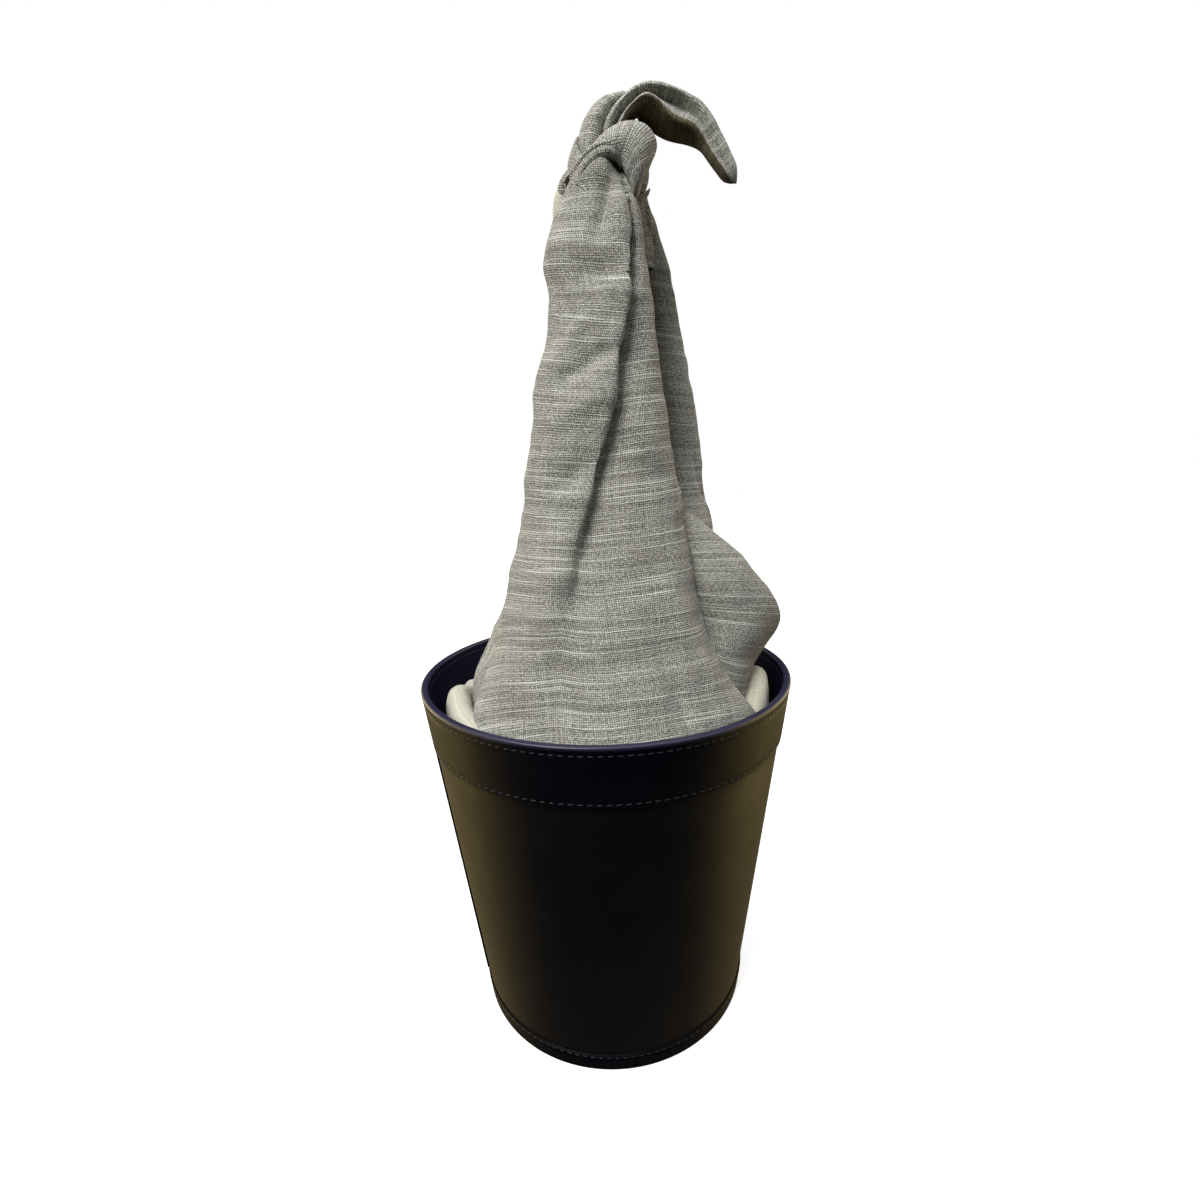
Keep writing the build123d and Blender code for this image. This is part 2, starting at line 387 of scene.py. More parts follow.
def wobble(angle, z):
    """How far the hand-made wall is from round, in metres, at an angle and height."""
    return 0.35 * MM * math.sin(2 * angle + 0.6) + 0.2 * MM * math.sin(3 * angle + 9 * z + 1.9)


def lathe(name, outline, material, nodes):
    """A ring of leather: the closed outline's (radius, z) points turned about Z, nearly round."""
    segments = 288
    rows = []
    for r, z in outline:
        ring = []
        for k in range(segments):
            angle = 2 * math.pi * k / segments
            radius = r + wobble(angle, z) * min(1.0, r / 0.05)
            ring.append((radius * math.cos(angle), radius * math.sin(angle), z))
        rows.append(ring)
    count = len(rows)
    points = [p for ring in rows for p in ring]
    faces = grid_faces(count, segments, closed=True)
    last = (count - 1) * segments
    faces += [(last + k, last + (k + 1) % segments, (k + 1) % segments, k) for k in range(segments)]
    made = mesh_piece(name, points, faces)
    wears(made, material)
    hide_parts(*nodes)
    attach(made, "bin")


def leather_layer(depth, thickness, low, high, grooves=()):
    """Closed outline of a layer of the wall, its outside that deep, with grooves where it's stitched."""
    corner, groove_depth, groove_width = 0.35 * MM, 0.28 * MM, 1.1 * MM
    outside = []
    for z in np.linspace(low + corner, high - corner, 40):
        pressed = sum(groove_depth * math.exp(-((z - groove) / groove_width) ** 2) for groove in grooves)
        outside.append((wall(z) - depth - pressed, z))
    top_out, top_in = (wall(high) - depth - corner, high), (wall(high) - depth - thickness, high)
    foot_in, foot_out = (wall(low) - depth - thickness, low), (wall(low) - depth - corner, low)
    return outside + [top_out, top_in, foot_in, foot_out]


RIM_ROW = (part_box("rim_thread")[0].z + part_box("rim_thread")[1].z) / 2
BAND_ROW = (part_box("band_thread")[0].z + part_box("band_thread")[1].z) / 2
BASE_ROW = (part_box("base_thread")[0].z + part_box("base_thread")[1].z) / 2
LEATHER = 1.1 * MM
LINING = 0.7 * MM
BAND_LEATHER = BAND - 0.05 * MM


def bin_leather():
    lathe("outer_wall", leather_layer(0, LEATHER, 0, RIM), NAVY, ["wall_leather"])
    lathe("rim_band_leather", leather_layer(-BAND, BAND_LEATHER, BAND_FOOT, RIM, (RIM_ROW, BAND_ROW)),
          BAND_NAVY, ["rim_band"])
    lathe("base_band_leather", leather_layer(-BAND, BAND_LEATHER, 0, BASE_BAND_TOP, (BASE_ROW,)),
          BAND_NAVY, ["base_band"])
    lining_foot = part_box("wall_lining")[0].z
    lathe("inner_lining", leather_layer(LINING_INSIDE - LINING, LINING, lining_foot, RIM), LINING_NAVY,
          ["wall_lining"])
    crown = []
    outer, inner = ring_radius("rim_band", True), WALL_TOP - LINING_INSIDE
    middle, half = (outer + inner) / 2, (outer - inner) / 2
    for t in np.linspace(0, math.pi, 13):
        crown.append((middle + half * math.cos(t), RIM + (CROWN - RIM) * math.sin(t) ** 0.8))
    crown += [(inner, RIM - LEATHER), (outer, RIM - LEATHER)]
    lathe("painted_rim", crown, EDGE_NAVY, ["rim_edge_coat"])


def stitch_row(name, place, count, node):
    """Separate stitches: place(t) gives a stitch's middle, its direction and the way out of the leather."""
    sides, rings = 7, 9
    along, thick = 3.1 * MM, 0.36 * MM
    points, faces = [], []
    for k in range(count):
        middle, ahead, out = place((k + 0.5) / count)
        ahead, out = Vector(ahead).normalized(), Vector(out).normalized()
        ahead = (ahead + out.cross(ahead) * random.uniform(0.02, 0.12)).normalized()
        beside = out.cross(ahead)
        long = along * random.uniform(0.93, 1.05)
        start = len(points)
        for i in range(rings):
            t = i / (rings - 1) * 2 - 1
            centre = Vector(middle) + ahead * (long / 2 * t) - out * thick * (1.5 * t ** 4 + 0.05)
            radius = thick * (1 - 0.45 * t ** 6)
            for j in range(sides):
                a = 2 * math.pi * j / sides
                points.append(centre + (beside * math.cos(a) + out * math.sin(a) * 0.8) * radius)
        faces += [tuple(start + q for q in face) for face in grid_faces(rings, sides, closed=True)]
        faces.append(tuple(start + j for j in reversed(range(sides))))
        faces.append(tuple(start + (rings - 1) * sides + j for j in range(sides)))
    made = mesh_piece(name, points, faces)
    wears(made, THREAD)
    if node:
        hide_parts(node)
    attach(made, "bin")


def round_row(radius, z, outward=1):
    """Places for a row of stitches round the wall."""
    lean = Vector((math.cos(math.atan(SLOPE)), -math.sin(math.atan(SLOPE))))

    def place(t):
        angle = 2 * math.pi * t
        r = radius + wobble(angle, z)
        direction = (-math.sin(angle), math.cos(angle), 0)
        out = (math.cos(angle) * lean.x * outward, math.sin(angle) * lean.x * outward, lean.y * outward)
        return (r * math.cos(angle), r * math.sin(angle), z), direction, out
    return place


def stitches():
    for name, z, depth, outward, node in (
            ("rim_stitches", RIM_ROW, -BAND + 0.2 * MM, 1, "rim_thread"),
            ("rim_stitches_inside", RIM_ROW, LINING_INSIDE, -1, None),
            ("band_stitches", BAND_ROW, -BAND + 0.2 * MM, 1, "band_thread"),
            ("base_stitches", BASE_ROW, -BAND + 0.2 * MM, 1, "base_thread")):
        radius = wall(z) - depth
        count = round(2 * math.pi * radius / STITCH_PITCH)
        stitch_row(name, round_row(radius, z, outward), count, node)


bin_leather()
stitches()

# ---------------------------------------------------------------- the linen panels

# Control points of the two panels, in mm. Each row is a height and its (x, y) points.
# The front panel goes from the left side round the front to the right, through a deep pleat:
# points 5 to 9 go out, under and out again.
FRONT = [
    (170, [(-60, -28), (-72, -36), (-67, -56), (-50, -70), (-34, -76), (-22, -78), (-10, -79),
           (4, -80), (18, -80), (34, -77), (60, -68), (84, -46), (76, -32)]),
    (184, [(-58, -20), (-69, -30), (-63, -50), (-46, -65), (-31, -71), (-21, -72), (-10, -74),
           (3, -76), (17, -76), (30, -74), (52, -65), (73, -46), (68, -33)]),
    (202, [(-54, -10), (-63, -22), (-57, -42), (-42, -58), (-29, -64), (-21, -63), (-11, -66),
           (2, -69), (15, -70), (28, -68), (45, -60), (58, -45), (56, -32)]),
    (222, [(-49, -4), (-56, -18), (-51, -36), (-38, -52), (-27, -58), (-20, -57), (-12, -58),
           (0, -61), (13, -63), (26, -61), (41, -54), (49, -42), (47, -28)]),
    (245, [(-42, -4), (-48, -16), (-44, -32), (-33, -46), (-23, -53), (-16, -52), (-13, -49),
           (-4, -52), (8, -56), (22, -55), (38, -48), (45, -37), (43, -22)]),
    (268, [(-37, -6), (-43, -15), (-38, -31), (-26, -43), (-16, -49), (-9, -49), (-11, -42),
           (-6, -43), (6, -48), (20, -48), (34, -43), (41, -33), (40, -19)]),
    (295, [(-32, -6), (-38, -15), (-33, -30), (-20, -40), (-8, -45), (1, -46), (-3, -37),
           (-5, -35), (6, -40), (18, -42), (31, -38), (38, -30), (36, -17)]),
    (322, [(-28, -6), (-34, -14), (-29, -28), (-14, -38), (-1, -43), (8, -44), (4, -35),
           (0, -32), (10, -36), (19, -39), (29, -36), (34, -28), (32, -16)]),
    (340, [(-27, -6), (-33, -14), (-26, -27), (-11, -37), (1, -42), (11, -43), (7, -34),
           (3, -31), (12, -35), (20, -37), (27, -35), (32, -27), (30, -16)]),
    (356, [(-19, -6), (-24, -14), (-19, -27), (-7, -36), (5, -40), (14, -41), (10, -34),
           (6, -31), (13, -33), (20, -35), (26, -33), (29, -26), (27, -15)]),
    (374, [(-17, -6), (-22, -14), (-17, -26), (-6, -34), (7, -39), (18, -40), (14, -33),
           (10, -30), (15, -32), (20, -34), (24, -32), (27, -25), (25, -13)]),
    (392, [(-21, -6), (-28, -14), (-20, -25), (-7, -32), (7, -36), (19, -36), (17, -31),
           (14, -28), (16, -29), (20, -31), (23, -29), (25, -23), (23, -12)]),
    (408, [(-13, -6), (-20, -14), (-14, -23), (-4, -28), (5, -31), (14, -32), (16, -30),
           (15, -27), (17, -28), (19, -29), (21, -26), (22, -20), (20, -10)]),
    (418, [(-8, -8), (-12, -15), (-11, -23), (-5, -28), (1, -31), (7, -32), (12, -29),
           (14, -27), (15, -27), (17, -28), (19, -25), (20, -19), (18, -10)]),
    (425, [(-4, -10), (-7, -16), (-7, -23), (-4, -28), (0, -31), (5, -32), (9, -28),
           (11, -24), (13, -23), (15, -23), (17, -22), (18, -17), (16, -10)]),
    (430, [(0, -12), (-3, -17), (-3, -23), (0, -27), (3, -29), (7, -29), (9, -25),
           (11, -22), (12, -21), (13, -20), (15, -18), (16, -15), (14, -10)]),
    (436, [(4, -12), (3, -16), (4, -20), (6, -22), (8, -22), (10, -20), (11, -18),
           (11, -17), (12, -17), (13, -17), (14, -16), (15, -14), (13, -10)]),
]
# The rear panel goes from the right of the front, out over the side puff, round the back to the left.
REAR = [
    (170, [(60, -40), (72, -34), (77, -22), (78, -4), (74, 20), (60, 46), (34, 66),
           (0, 74), (-34, 66), (-60, 46), (-74, 18), (-76, -6), (-68, -30)]),
    (184, [(54, -38), (66, -34), (76, -26), (79, -8), (72, 16), (55, 40), (30, 60),
           (0, 66), (-32, 60), (-56, 42), (-74, 16), (-79, -8), (-66, -26)]),
    (197, [(48, -36), (58, -33), (68, -26), (76, -12), (72, 10), (52, 34), (28, 53),
           (0, 58), (-28, 54), (-50, 38), (-67, 14), (-73, -8), (-60, -20)]),
    (210, [(46, -34), (55, -31), (64, -24), (72, -10), (69, 8), (50, 28), (26, 46),
           (0, 51), (-25, 48), (-45, 34), (-61, 12), (-66, -8), (-56, -18)]),
    (222, [(44, -32), (52, -28), (61, -21), (69, -8), (66, 8), (50, 24), (25, 41),
           (0, 46), (-22, 43), (-41, 31), (-55, 12), (-60, -6), (-52, -14)]),
    (236, [(42, -28), (49, -25), (57, -17), (65, -5), (62, 9), (49, 21), (25, 36),
           (0, 41), (-20, 38), (-37, 28), (-48, 12), (-51, -2), (-45, -8)]),
    (250, [(40, -22), (46, -19), (54, -12), (63, -2), (60, 10), (48, 18), (25, 32),
           (2, 36), (-17, 34), (-33, 26), (-43, 12), (-46, -2), (-41, -8)]),
    (268, [(38, -14), (43, -14), (50, -12), (58, -4), (58, 6), (46, 19), (25, 30),
           (4, 33), (-14, 31), (-29, 24), (-38, 12), (-41, -1), (-37, -8)]),
    (290, [(33, 2), (38, 0), (46, -1), (54, 3), (55, 12), (44, 22), (25, 30),
           (6, 32), (-11, 30), (-25, 24), (-34, 14), (-37, 3), (-33, -3)]),
    (315, [(34, 8), (38, 5), (46, 4), (54, 8), (53, 15), (41, 23), (24, 29),
           (8, 31), (-8, 29), (-21, 24), (-30, 16), (-33, 8), (-30, 3)]),
    (345, [(30, 10), (34, 8), (42, 7), (50, 10), (48, 17), (37, 23), (22, 28),
           (8, 29), (-6, 28), (-18, 23), (-26, 16), (-28, 9), (-25, 5)]),
    (372, [(28, 10), (31, 8), (38, 8), (45, 11), (42, 17), (32, 22), (20, 25),
           (8, 26), (-4, 25), (-14, 21), (-21, 15), (-23, 9), (-20, 5)]),
    (395, [(26, 6), (29, 5), (34, 6), (39, 9), (36, 14), (28, 18), (18, 20),
           (9, 20), (0, 19), (-8, 16), (-13, 12), (-15, 7), (-12, 3)]),
    (412, [(25, -2), (27, -2), (30, 0), (32, 4), (29, 8), (23, 11), (17, 12),
           (11, 12), (5, 11), (0, 9), (-3, 6), (-4, 2), (-2, -2)]),
    (424, [(22, -6), (23, -6), (24, -4), (24, -1), (22, 2), (19, 3), (16, 4),
           (12, 4), (9, 3), (6, 2), (4, 0), (4, -3), (6, -6)]),
]
# Folds pulled into the front panel: from and to, as shares of its width and height, width and rise in mm.
FRONT_CREASES = [
    ((0.47, 0.87), (0.26, 0.73), 3.5, -2.8),
    ((0.56, 0.86), (0.35, 0.71), 4.0, 2.2),
    ((0.18, 0.68), (0.44, 0.66), 4.5, -3.0),
    ((0.14, 0.55), (0.46, 0.63), 5.0, 3.2),
    ((0.17, 0.49), (0.36, 0.54), 4.0, -3.2),
    ((0.18, 0.42), (0.44, 0.47), 5.0, 2.4),
    ((0.20, 0.34), (0.42, 0.38), 5.0, -2.4),
    ((0.22, 0.30), (0.40, 0.20), 6.0, 2.0),
    ((0.60, 0.27), (0.68, 0.04), 7.0, -1.8),
    ((0.72, 0.44), (0.86, 0.38), 5.0, 1.4),
    ((0.85, 0.20), (0.92, 0.02), 6.0, 2.6),
    ((0.77, 0.20), (0.83, 0.02), 6.0, -3.4),
    ((0.30, 0.13), (0.46, 0.03), 6.0, -2.2),
]
REAR_CREASES = [
    ((0.16, 0.99), (0.20, 0.45), 1.6, 1.8),
    ((0.20, 0.99), (0.25, 0.45), 1.6, -1.8),
    ((0.45, 0.95), (0.38, 0.30), 5.0, -2.5),
    ((0.62, 0.95), (0.70, 0.20), 6.0, -2.5),
    ((0.52, 0.60), (0.55, 0.05), 7.0, 2.5),
    ((0.40, 0.55), (0.70, 0.48), 6.0, 1.6),
    ((0.78, 0.70), (0.86, 0.10), 5.0, -2.0),
]
# The fold of the rear panel that puffs out over the cotton at the right: rows down, points round it.
SIDE_FOLD = [
    [(28, -20, 266), (33, -24, 271), (38, -25, 275), (45, -22, 275),
     (47, -16, 271), (43, -9, 266), (36, -2, 262)],
    [(32, -25, 253), (39, -30, 257), (48, -32, 260), (61, -26, 263),
     (62, -17, 257), (55, -7, 249), (42, 0, 244)],
    [(35, -29, 240), (42, -35, 241), (56, -36, 243), (76, -27, 248),
     (77, -15, 242), (67, -3, 235), (50, 3, 231)],
    [(38, -30, 226), (46, -36, 225), (64, -38, 228), (88, -25, 233),
     (89, -12, 228), (74, 1, 222), (54, 5, 219)],
    [(40, -32, 214), (49, -38, 213), (68, -39, 214), (95, -20, 219),
     (93, -8, 216), (77, 5, 212), (56, 7, 210)],
    [(43, -33, 205), (52, -39, 204), (67, -38, 204), (88, -18, 208),
     (86, -6, 206), (76, 7, 203), (58, 8, 202)],
    [(47, -34, 197), (55, -40, 196), (65, -38, 196), (79, -20, 199),
     (78, -8, 198), (73, 6, 196), (58, 8, 195)],
    [(51, -36, 187), (58, -41, 186), (65, -38, 186), (75, -22, 189),
     (75, -10, 188), (71, 4, 186), (60, 8, 185)],
    [(55, -38, 174), (60, -42, 174), (66, -38, 174), (76, -24, 176),
     (76, -12, 175), (69, 2, 174), (60, 8, 173)],
]
CLOTH = 1.0 * MM
PANEL_COLUMNS, PANEL_ROWS = 150, 220
# How much closer together a ruffle's waves are along X, Y and Z.
BROAD, LEVEL, FINE = (1, 1, 0.7), (0.5, 0.5, 1.3), (0.7, 0.7, 1)


def panel_net(rows):
    return np.array([[(x, y, z) for x, y in points] for z, points in rows]) * MM


def front_panel():
    """The front ear and its skirt. The weft runs down from the left to the pleat and up from it."""
    points = surface(panel_net(FRONT), PANEL_COLUMNS, PANEL_ROWS)
    share = np.linspace(0, 1, PANEL_COLUMNS)
    tilt = np.interp(share, [0, 0.4, 0.6, 1], [0.06, 0.06, -0.11, -0.11])
    points = ruffle(points, 1.8 * MM, 26 * MM, 1, BROAD)
    for start, end, width, rise in FRONT_CREASES:
        points = crease(points, start, end, width * MM, rise * MM)
    points = ruffle(points, 1.1 * MM, 15 * MM, 5, LEVEL)
    points = ruffle(points, 0.45 * MM, 7 * MM, 2, FINE)
    made = cloth_piece("front_panel", points, LINEN, CLOTH, centre=100, tilt=tilt)
    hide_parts("linen_front", "front_ear")
    return made


def rear_panel():
    """The rear ear and its skirt."""
    points = surface(panel_net(REAR), PANEL_COLUMNS, PANEL_ROWS)
    points = ruffle(points, 1.8 * MM, 24 * MM, 3, BROAD)
    points = ruffle(points, 1.1 * MM, 15 * MM, 6, LEVEL)
    points = ruffle(points, 0.45 * MM, 7 * MM, 4, FINE)
    for start, end, width, rise in REAR_CREASES:
        points = crease(points, start, end, width * MM, rise * MM)
    made = cloth_piece("rear_panel", points, LINEN, CLOTH, centre=70, tilt=0.05)
    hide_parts("linen_rear", "rear_ear")
    return made


def side_fold():
    """The puff at the right."""
    points = ruffle(surface(np.array(SIDE_FOLD) * MM, 90, 110), 1.2 * MM, 17 * MM, 8)
    points = ruffle(points, 0.4 * MM, 7 * MM, 9)
    made = cloth_piece("side_fold_cloth", points, LINEN, CLOTH, centre=40, tilt=-0.3)
    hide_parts("side_fold")
    return made


for panel in (front_panel(), rear_panel(), side_fold()):
    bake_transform(panel)

# ---------------------------------------------------------------- the knot and its two loose ends

# Control points of each band of the knot, in mm: rows run along the band, points run across it.
WRAP = [
    [(3, -22, 427), (2, -24, 429), (1, -24, 431), (1, -20, 434), (3, -12, 436), (6, -4, 436)],
    [(6, -25, 426), (5, -28, 429), (5, -28, 432), (4, -25, 435), (5, -18, 439), (7, -6, 442)],
    [(11, -26, 426), (10, -30, 429), (10, -31, 433), (11, -29, 436), (11, -22, 441), (12, -8, 446)],
    [(14, -27, 425), (14, -31, 427), (16, -33, 432), (18, -31, 437), (20, -24, 442), (20, -8, 448)],
    [(15, -27, 422), (15, -31, 424), (19, -33, 429), (23, -30, 435), (27, -21, 440), (26, -6, 445)],
    [(17, -27, 419), (17, -31, 421), (21, -33, 425), (26, -29, 430), (31, -17, 436), (29, -4, 438)],
    [(18, -27, 416), (18, -30, 418), (22, -32, 421), (26, -27, 425), (28, -16, 430), (25, -4, 433)],
    [(19, -26, 412), (19, -29, 414), (21, -30, 416), (23, -25, 420), (24, -16, 424), (20, -5, 427)],
    [(19, -20, 409), (18, -24, 410), (19, -25, 411), (20, -21, 413), (20, -15, 417), (17, -6, 420)],
]
LOOP = [
    [(-3, -6, 430), (-3, -9, 430), (-2, -14, 431), (-1, -17, 431), (1, -18, 431), (2, -15, 432)],
    [(-4, 3, 437), (-6, -4, 437), (-5, -11, 437), (-2, -16, 437), (1, -18, 436), (4, -14, 436)],
    [(-3, 4, 442), (-6, -3, 442), (-5, -11, 441), (-1, -17, 440), (3, -18, 439), (6, -13, 439)],
    [(-2, 4, 446), (-5, -3, 447), (-4, -11, 446), (0, -17, 445), (4, -18, 443), (7, -13, 443)],
    [(0, 4, 450), (-3, -3, 452), (-1, -11, 451), (2, -17, 449), (6, -18, 448), (9, -13, 447)],
    [(4, 4, 454), (2, -3, 457), (3, -11, 456), (6, -16, 454), (9, -17, 452), (11, -13, 451)],
    [(9, 4, 456), (8, -3, 460), (9, -10, 459), (11, -15, 457), (13, -16, 455), (14, -12, 453)],
    [(14, 3, 456), (14, -4, 461), (15, -9, 460), (16, -13, 458), (17, -14, 456), (17, -11, 454)],
]
LOWER_LOOP = [
    [(-8, -9, 424), (-6, -16, 426), (-4, -18, 428), (-1, -15, 431)],
    [(-10, -7, 429), (-9, -14, 430), (-6, -17, 431), (-3, -14, 433)],
    [(-11, -5, 434), (-10, -13, 434), (-8, -15, 436), (-5, -11, 437)],
    [(-9, -3, 440), (-8, -10, 439), (-7, -12, 440), (-5, -8, 441)],
    [(-7, -1, 444), (-6, -8, 443), (-5, -9, 444), (-4, -6, 444)],
]
# The front ear's hem, rolled over under the knot: a point of its line, its slant across and
# down, the least that it stands forward, and the share of its height, below 0 where it tucks in.
# Its section is a double roll lying on the panel.
HEM_LINE = [
    (-9, 419, 0.8, -0.6, -18, -1), (-7.6, 421.5, 0.7, -0.7, -22, 0.3), (-4, 424.6, 0.6, -0.8, -26, 1),
    (-0.4, 427, 0.4, -0.9, -28, 1), (3.6, 428.8, 0.2, -1, -29, 1), (7.5, 429.4, 0, -1, -29.5, 1),
    (11, 428.6, -0.2, -1, -29, 1), (13.8, 427, -0.5, -0.9, -28, 1), (15.5, 425, -0.7, -0.7, -26, 1),
]
HEM_SECTION = [(-2.7, -2.5), (-2.7, 0.6), (-1.6, 2.0), (-0.4, 0.8), (0.9, 1.8), (2.4, 1.2), (3.6, -0.6)]
# The front end's rows have the top roll, the crease, the second roll, the ridge and the lower flap across.
FRONT_END = [
    [(5, -5, 440), (5, -9, 441), (6, -16, 442), (8, -20, 439), (10, -12, 442), (12, -20, 441),
     (14, -18, 441), (16, -10, 444), (17, -8, 445)],
    [(8, -4, 445), (6, -9, 447), (7, -16, 447), (9, -21, 445), (12, -10, 447), (14, -21, 445),
     (16, -18, 445), (18, -10, 448), (20, -8, 449)],
    [(12, -3, 448), (9, -8, 452), (11, -15, 452), (13, -21, 450), (15, -10, 450), (16, -22, 448),
     (18, -19, 447), (21, -8, 451), (22, -7, 451)],
    [(17, -2, 452), (15, -7, 458), (16, -14, 458), (17, -20, 454), (19, -9, 453), (19, -22, 451),
     (21, -21, 449), (23, -6, 451), (22, -7, 449)],
    [(25, -1, 456), (23, -5, 463), (24, -12, 463), (24, -19, 458), (24, -8, 457), (24, -21, 455),
     (26, -22, 451), (25, -5, 451), (23, -7, 448)],
    [(30, 0, 455), (30, -5, 462), (31, -12, 462), (30, -19, 458), (30, -8, 456), (29, -21, 453),
     (30, -22, 448), (29, -5, 448), (28, -7, 446)],
    [(37, 0, 452), (38, -5, 460), (39, -12, 460), (37, -19, 456), (37, -7, 455), (35, -17, 450),
     (34, -22, 443), (34, -6, 444), (33, -7, 442)],
    [(43, 0, 449), (45, -5, 457), (46, -12, 457), (44, -19, 453), (43, -8, 451), (41, -16, 447),
     (39, -20, 441), (40, -7, 441), (40, -7, 440)],
    [(48, 0, 446), (52, -5, 454), (53, -12, 453), (49, -18, 449), (48, -11, 447), (46, -17, 446),
     (44, -18, 441), (45, -8, 439), (46, -8, 438)],
    [(52, -1, 441), (56, -5, 448), (57, -12, 447), (53, -18, 443), (51, -12, 442), (49, -17, 441),
     (49, -16, 438), (49, -9, 437), (51, -8, 436)],
    [(56, -2, 435), (60, -6, 441), (61, -12, 440), (57, -17, 436), (55, -13, 435), (53, -16, 435),
     (52, -15, 433), (52, -11, 432), (53, -9, 431)],
    [(60, -5, 429), (64, -7, 433), (65, -12, 433), (62, -16, 429), (60, -13, 428), (58, -16, 428),
     (57, -15, 427), (57, -12, 426), (58, -10, 425)],
    [(63, -8, 426), (66, -8, 428), (67, -12, 428), (65, -15, 425), (64, -14, 424), (62, -15, 424),
     (60, -14, 423), (60, -12, 422), (60, -10, 422)],
    [(65, -11, 422), (66, -11, 422), (66, -12, 422), (66, -12, 421), (65, -12, 421), (64, -12, 421),
     (64, -12, 421), (63, -12, 421), (63, -12, 421)],
]
REAR_END = [
    [(12, 0, 440), (13, 4, 442), (16, 5, 443), (19, 4, 442), (22, 1, 440)],
    [(10, 7, 439), (12, 12, 441), (16, 14, 442), (21, 12, 441), (25, 8, 439)],
    [(7, 15, 431), (11, 21, 434), (17, 20, 434), (23, 22, 434), (28, 17, 431)],
    [(6, 21, 418), (11, 28, 420), (17, 25, 420), (23, 29, 420), (28, 23, 418)],
    [(6, 26, 404), (11, 33, 405), (18, 29, 405), (24, 34, 405), (28, 28, 404)],
    [(7, 30, 392), (12, 36, 393), (18, 32, 393), (24, 37, 393), (28, 32, 392)],
    [(9, 33, 382), (13, 37, 382), (18, 35, 382), (23, 38, 383), (27, 35, 384)],
]
LEFT_TAB = [
    [(-7, -9, 430), (-9, -12, 430), (-9, -13, 429), (-7, -14, 428)],
    [(-11, -8, 428), (-14, -11, 427), (-13, -14, 426), (-8, -14, 425)],
    [(-14, -7, 424), (-17, -10, 424), (-14, -13, 423), (-9, -12, 422)],
    [(-14, -6, 420), (-16, -9, 420), (-13, -11, 419), (-9, -10, 419)],
]
LEFT_HEM = [
    [(-11, -4, 427), (-13, -8, 427), (-12, -10, 426), (-9, -9, 425)],
    [(-15, -3, 422), (-18, -8, 422), (-15, -11, 422), (-10, -10, 421)],
    [(-16, -3, 416), (-19, -8, 416), (-17, -11, 416), (-12, -10, 415)],
    [(-17, -2, 410), (-19, -7, 410), (-17, -10, 410), (-13, -9, 409)],
    [(-16, -1, 404), (-17, -5, 404), (-15, -8, 404), (-12, -7, 404)],
]
RIGHT_TAB = [
    [(14, -9, 413), (14, -11, 412), (14, -11, 410), (14, -8, 410)],
    [(19, -9, 416), (19, -12, 415), (19, -12, 413), (19, -8, 412)],
    [(23, -9, 419), (23, -12, 418), (23, -12, 416), (23, -8, 415)],
    [(27, -8, 422), (27, -10, 421), (27, -10, 419), (26, -7, 419)],
]
RIGHT_HEM = [
    [(26, 3, 424), (26, -3, 424), (24, -5, 423), (22, -6, 421)],
    [(28, 5, 419), (28, -1, 419), (25, -4, 418), (22, -6, 416)],
    [(29, 7, 411), (29, 1, 411), (26, -2, 410), (23, -4, 409)],
    [(31, 9, 402), (31, 3, 402), (28, 0, 401), (25, -2, 400)],
    [(32, 11, 392), (32, 6, 392), (29, 3, 392), (26, 1, 392)],
]


def band(name, net, across, along, body, thickness=0.9 * MM, crumple=0.35 * MM, nodes=(), material=None):
    """A band of the knotted linen over its control points."""
    points = ruffle(surface(np.array(net) * MM, across, along), crumple, 7 * MM, len(name))
    made = cloth_piece(name, points, material or LINEN, thickness)
    if nodes:
        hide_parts(*nodes)
    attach(made, body)
    return made


def paint_flap_shade(piece, across, start):
    """Past a share of its width the band's lower flap gets a darker, olive linen: painted shade for its
    shaded underside.
    """
    piece.data.materials.append(LINEN_PAINTED_SHADE)
    for i, face in enumerate(piece.data.polygons):
        if i % (across - 1) > start * (across - 1):
            face.material_index = 1


def hem_net():
    """The hem's control points, in mm, each raised off the front panel's surface."""
    panel = bpy.data.objects["front_panel"].data
    tree = BVHTree.FromPolygons([v.co for v in panel.vertices], [tuple(p.vertices) for p in panel.polygons])
    in_front = -200
    net = []
    for x, z, slant_x, slant_z, least, rise in HEM_LINE:
        row = []
        for off, height in HEM_SECTION:
            at = Vector((x + off * slant_x, in_front, z + off * slant_z)) * MM
            hit = tree.ray_cast(at, Vector((0, 1, 0)))[0]
            lie = min(least, hit.y / MM) if hit else least
            row.append((at.x / MM, lie - rise * height, at.z / MM))
        net.append(row)
    return net


def knot_core():
    """The inside of the knot, as it shows from behind: cloth twisted tight in slanting folds."""
    low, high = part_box("knot")
    centre, half = (low + high) / 2, (high - low) / 2
    rings, sides = 60, 90
    share_of_knot, fold_depth, folds, twist = 0.70, 0.13, 3, 3.2
    points = np.zeros((rings, sides, 3))
    for i in range(rings):
        up = math.pi * (0.03 + 0.94 * i / (rings - 1))
        for k in range(sides):
            around = 2 * math.pi * k / (sides - 1)
            fold = math.sin(folds * around + twist * up + 0.8 * math.sin(2 * up))
            size = share_of_knot + fold_depth * math.copysign(abs(fold) ** 0.6, fold) * math.sin(up) ** 0.7
            points[i, k] = (centre.x + half.x * size * math.sin(up) * math.cos(around),
                            centre.y + half.y * size * math.sin(up) * math.sin(around),
                            centre.z - half.z * size * math.cos(up))
    made = cloth_piece("knot_core", points, LINEN, 0.5 * MM)
    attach(made, "handle")


